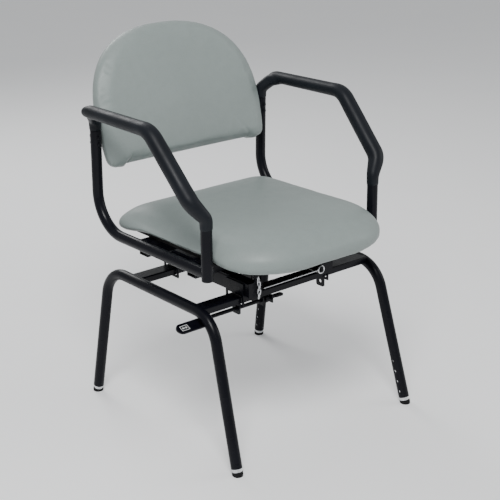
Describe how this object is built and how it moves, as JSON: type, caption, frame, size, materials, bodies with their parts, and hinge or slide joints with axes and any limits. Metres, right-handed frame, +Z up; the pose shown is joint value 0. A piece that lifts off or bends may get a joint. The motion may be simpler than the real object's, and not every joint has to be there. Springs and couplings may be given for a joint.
{
  "type": "swivel chair",
  "caption": "Padded armchair whose seat turns and slides sideways on a fixed tubular leg frame, with a release lever under one side.",
  "frame": {"origin": "on the floor, under the middle of the whole chair's outline box; the swivel axis stands 9.5 mm to +X and 42.45 mm to -Y of it", "axes": "+Z up; the sitter faces -Y when the seat is locked forwards; the seat slides along X; left in a name means the -X side"},
  "size_m": [0.6059, 0.6369, 0.8772],
  "materials": {
    "frame_black": "satin powder coat",
    "bright_plate": "bright zinc plate",
    "bare_steel": "oiled steel",
    "foot_rubber": "moulded, matt",
    "arm_polyurethane": "self-skinned polyurethane, fine grain",
    "black_plastic": "moulded",
    "nylon": "natural nylon",
    "plywood": "black-stained edge",
    "grey_vinyl": "upholstery vinyl, fine grain"
  },
  "bodies": {
    "base": {"leg_frame_left": "frame_black", "leg_frame_right": "frame_black", "cross_rail_front": "frame_black", "cross_rail_rear": "frame_black", "lock_rack": "frame_black"},
    "leg_front_left": {"leg_extension_front_left": "bright_plate", "leg_foot_front_left": "foot_rubber"},
    "button_front_left": {"leg_button_front_left": "bare_steel"},
    "leg_rear_left": {"leg_extension_rear_left": "bright_plate", "leg_foot_rear_left": "foot_rubber"},
    "button_rear_left": {"leg_button_rear_left": "bare_steel"},
    "leg_front_right": {"leg_extension_front_right": "bright_plate", "leg_foot_front_right": "foot_rubber"},
    "button_front_right": {"leg_button_front_right": "bare_steel"},
    "leg_rear_right": {"leg_extension_rear_right": "bright_plate", "leg_foot_rear_right": "foot_rubber"},
    "button_rear_right": {"leg_button_rear_right": "bare_steel"},
    "carriage": {"carriage_channel_left": "frame_black", "carriage_channel_right": "frame_black", "channel_end_plates": "frame_black", "carriage_plate": "frame_black", "rail_brackets_front": "frame_black", "rail_brackets_rear": "frame_black", "rail_glides": "nylon", "lock_cheeks": "frame_black", "latch_pins": "bare_steel", "rocker_spring": "bare_steel", "lower_race": "bare_steel", "bearing_balls": "bare_steel", "centre_bolt": "bare_steel", "centre_nut": "bare_steel", "tie_chain": "bright_plate", "tie_wire": "bright_plate", "tie_ring": "bright_plate"},
    "lever": {"lever_rod": "frame_black", "lever_paddle": "frame_black", "lever_crank": "frame_black", "retaining_rings": "frame_black"},
    "slide_latch": {"slide_latch": "bare_steel"},
    "rocker": {"lock_rocker": "bare_steel"},
    "swivel_pin": {"swivel_pin": "bare_steel"},
    "seat": {"turntable_plate": "frame_black", "upper_race": "bare_steel", "seat_cross_tube_front": "frame_black", "seat_cross_tube_rear": "frame_black", "seat_side_bars": "frame_black", "side_bar_plugs": "black_plastic", "arm_frame_left": "frame_black", "arm_frame_right": "frame_black", "post_end_caps": "black_plastic", "armrest_left": "arm_polyurethane", "armrest_right": "arm_polyurethane", "seat_board": "plywood", "seat_pad": "grey_vinyl", "seat_screws": "bright_plate", "back_pad": "grey_vinyl", "back_panel": "black_plastic", "back_strap": "frame_black", "back_fasteners": "frame_black"}
  },
  "joints": [
    {"name": "carriage_slide", "type": "slide", "parent": "base", "child": "carriage", "axis": [1, 0, 0], "range_m": [-0.075, 0.1]},
    {"name": "seat_swivel", "type": "hinge", "parent": "carriage", "child": "seat", "pos_m": [0.0095, -0.04245, 0.391], "axis": [0, 0, 1], "continuous": true},
    {"name": "lever_turn", "type": "hinge", "parent": "carriage", "child": "lever", "pos_m": [-0.1335, -0.16345, 0.313], "axis": [1, 0, 0], "range_deg": [0, 15]},
    {"name": "slide_latch_lift", "type": "slide", "parent": "carriage", "child": "slide_latch", "axis": [0, 0, 1], "range_m": [0, 0.0095], "stiffness_N_per_m": 200, "springref_m": -0.01},
    {"name": "rocker_turn", "type": "hinge", "parent": "carriage", "child": "rocker", "pos_m": [-0.0505, -0.10345, 0.362], "axis": [1, 0, 0], "range_deg": [-22, 0]},
    {"name": "swivel_pin_drop", "type": "slide", "parent": "carriage", "child": "swivel_pin", "axis": [0, 0, -1], "range_m": [0, 0.009]},
    {"name": "leg_slide_front_left", "type": "slide", "parent": "base", "child": "leg_front_left", "axis": [-0.0403, -0.2734, -0.9611], "range_m": [0, 0.0762]},
    {"name": "button_press_front_left", "type": "slide", "parent": "leg_front_left", "child": "button_front_left", "axis": [0.9992, -0.011, -0.0387], "range_m": [0, 0.0028]},
    {"name": "leg_slide_rear_left", "type": "slide", "parent": "base", "child": "leg_rear_left", "axis": [-0.0412, 0.1767, -0.9834], "range_m": [0, 0.0762]},
    {"name": "button_press_rear_left", "type": "slide", "parent": "leg_rear_left", "child": "button_rear_left", "axis": [0.9992, 0.0073, -0.0406], "range_m": [0, 0.0028]},
    {"name": "leg_slide_front_right", "type": "slide", "parent": "base", "child": "leg_front_right", "axis": [0.0403, -0.2734, -0.9611], "range_m": [0, 0.0762]},
    {"name": "button_press_front_right", "type": "slide", "parent": "leg_front_right", "child": "button_front_right", "axis": [-0.9992, -0.011, -0.0387], "range_m": [0, 0.0028]},
    {"name": "leg_slide_rear_right", "type": "slide", "parent": "base", "child": "leg_rear_right", "axis": [0.0412, 0.1767, -0.9834], "range_m": [0, 0.0762]},
    {"name": "button_press_rear_right", "type": "slide", "parent": "leg_rear_right", "child": "button_rear_right", "axis": [-0.9992, 0.0073, -0.0406], "range_m": [0, 0.0028]}
  ],
  "couplings": [
    {"joint": "lever_turn", "follows": "slide_latch_lift", "rad_per_m": 27.4},
    {"joint": "rocker_turn", "follows": "slide_latch_lift", "rad_per_m": -39.7},
    {"joint": "swivel_pin_drop", "follows": "slide_latch_lift", "ratio": 0.89}
  ]
}
